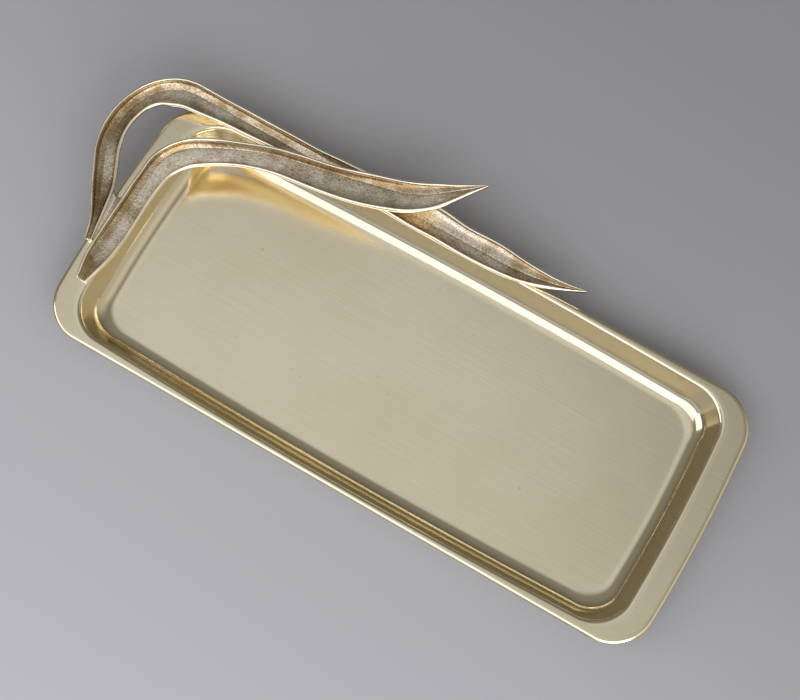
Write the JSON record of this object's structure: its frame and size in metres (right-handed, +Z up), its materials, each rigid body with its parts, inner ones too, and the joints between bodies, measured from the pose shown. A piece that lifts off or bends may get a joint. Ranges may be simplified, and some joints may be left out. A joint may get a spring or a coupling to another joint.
{
  "type": "serving tray",
  "caption": "Long rounded cast brass serving tray with a deep well, end flanges and a leaf spray at one corner that forms a finger loop.",
  "frame": {"origin": "on the table, in the middle of the felt base's lower face, under the middle of the tray's rectangle", "axes": "+X along the tray, away from the leaves' corner; +Y across it, towards the long rim that carries the back leaf; +Z up"},
  "size_m": [0.4818, 0.224, 0.0456],
  "materials": {
    "polished_brass": "pale satin floor and flanges, polished wall",
    "cast_brass": "sand cast faces, polished edges",
    "braze": "smooth run of braze metal",
    "screw_steel": "plain zinc",
    "felt": "dark brown felt"
  },
  "bodies": {
    "root": {"tray_pan": "polished_brass", "back_leaf": "cast_brass", "front_leaf": "cast_brass", "stem_screws": "screw_steel", "stem_washers": "screw_steel", "stem_braze": "braze", "crossing_braze": "braze", "rim_braze": "braze", "felt_base": "felt"}
  },
  "joints": []
}
